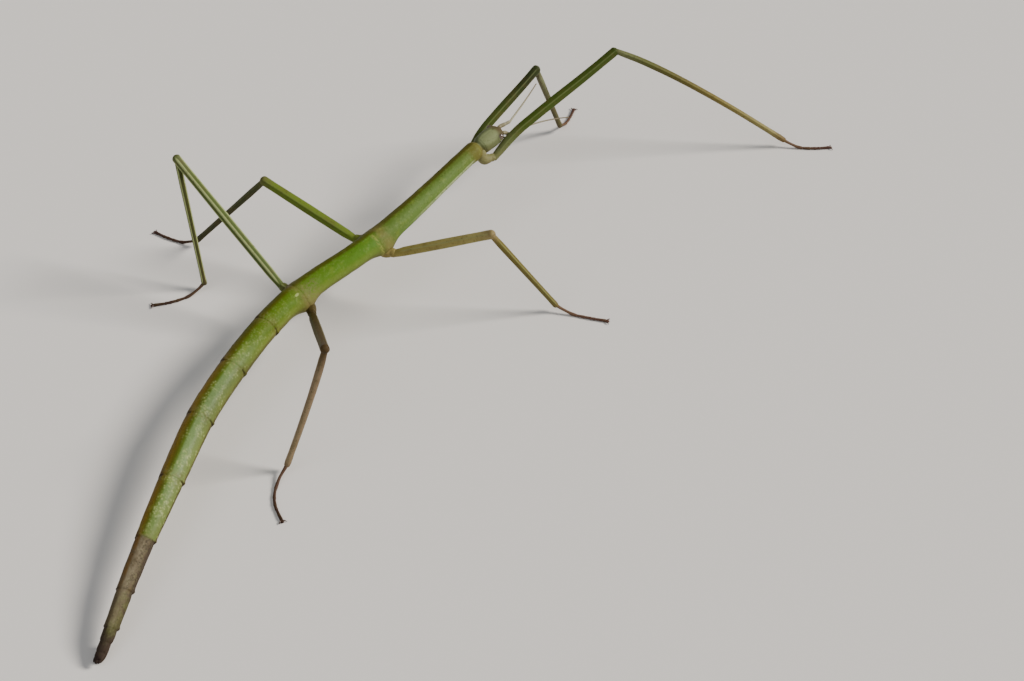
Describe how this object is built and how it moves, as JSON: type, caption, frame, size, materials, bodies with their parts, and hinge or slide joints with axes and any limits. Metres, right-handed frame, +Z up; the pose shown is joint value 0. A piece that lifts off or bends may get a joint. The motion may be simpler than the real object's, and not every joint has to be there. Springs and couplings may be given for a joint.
{
  "type": "stick insect",
  "caption": "Life-size smooth stick insect, an adult female standing on a flat floor, with a curved green body, long thin ridged legs and short thread-like feelers.",
  "frame": {"origin": "under the middle of the bounding box, at the level of the soles", "axes": "+Z up; +X along the front of the thorax towards the head; +Y to the insect's left"},
  "size_m": [0.1424, 0.0626, 0.0209],
  "materials": {
    "thorax_cuticle": "glossy yellow-green cuticle with fine pale granules",
    "abdomen_cuticle": "glossy olive-green cuticle, glaucous on top and darker along the flanks",
    "tail_cuticle": "grey-brown mottled cuticle",
    "head_cuticle": "pale grey-green cuticle, brownish on the face",
    "eye": "dark brown glossy eye",
    "antenna_cuticle": "pale straw-coloured",
    "leg_green": "satin olive to yellow-green, ridged",
    "leg_brown": "satin grey-brown, ridged",
    "foot_cuticle": "dark purplish brown"
  },
  "bodies": {
    "root": {"abdomen_10": "tail_cuticle", "abdomen_2": "abdomen_cuticle", "abdomen_3": "abdomen_cuticle", "abdomen_4": "abdomen_cuticle", "abdomen_5": "abdomen_cuticle", "abdomen_6": "tail_cuticle", "abdomen_7": "tail_cuticle", "abdomen_8": "tail_cuticle", "abdomen_9": "tail_cuticle", "antenna_left": "antenna_cuticle", "antenna_right": "antenna_cuticle", "cercus_left": "tail_cuticle", "cercus_right": "tail_cuticle", "coxa_front_left": "leg_brown", "coxa_front_right": "leg_brown", "coxa_hind_left": "leg_brown", "coxa_hind_right": "leg_brown", "coxa_middle_left": "leg_brown", "coxa_middle_right": "leg_brown", "eye_left": "eye", "eye_right": "eye", "femur_front_left": "leg_green", "femur_front_right": "leg_green", "femur_hind_left": "leg_green", "femur_hind_right": "leg_brown", "femur_middle_left": "leg_green", "femur_middle_right": "leg_green", "head": "head_cuticle", "median_segment": "abdomen_cuticle", "mesothorax": "thorax_cuticle", "metathorax": "thorax_cuticle", "mouthparts": "head_cuticle", "operculum": "tail_cuticle", "palp_left": "head_cuticle", "palp_right": "head_cuticle", "prothorax": "thorax_cuticle", "tarsus_front_left": "foot_cuticle", "tarsus_front_right": "foot_cuticle", "tarsus_hind_left": "foot_cuticle", "tarsus_hind_right": "foot_cuticle", "tarsus_middle_left": "foot_cuticle", "tarsus_middle_right": "foot_cuticle", "tibia_front_left": "leg_green", "tibia_front_right": "leg_green", "tibia_hind_left": "leg_brown", "tibia_hind_right": "leg_brown", "tibia_middle_left": "leg_green", "tibia_middle_right": "leg_green"}
  },
  "joints": []
}
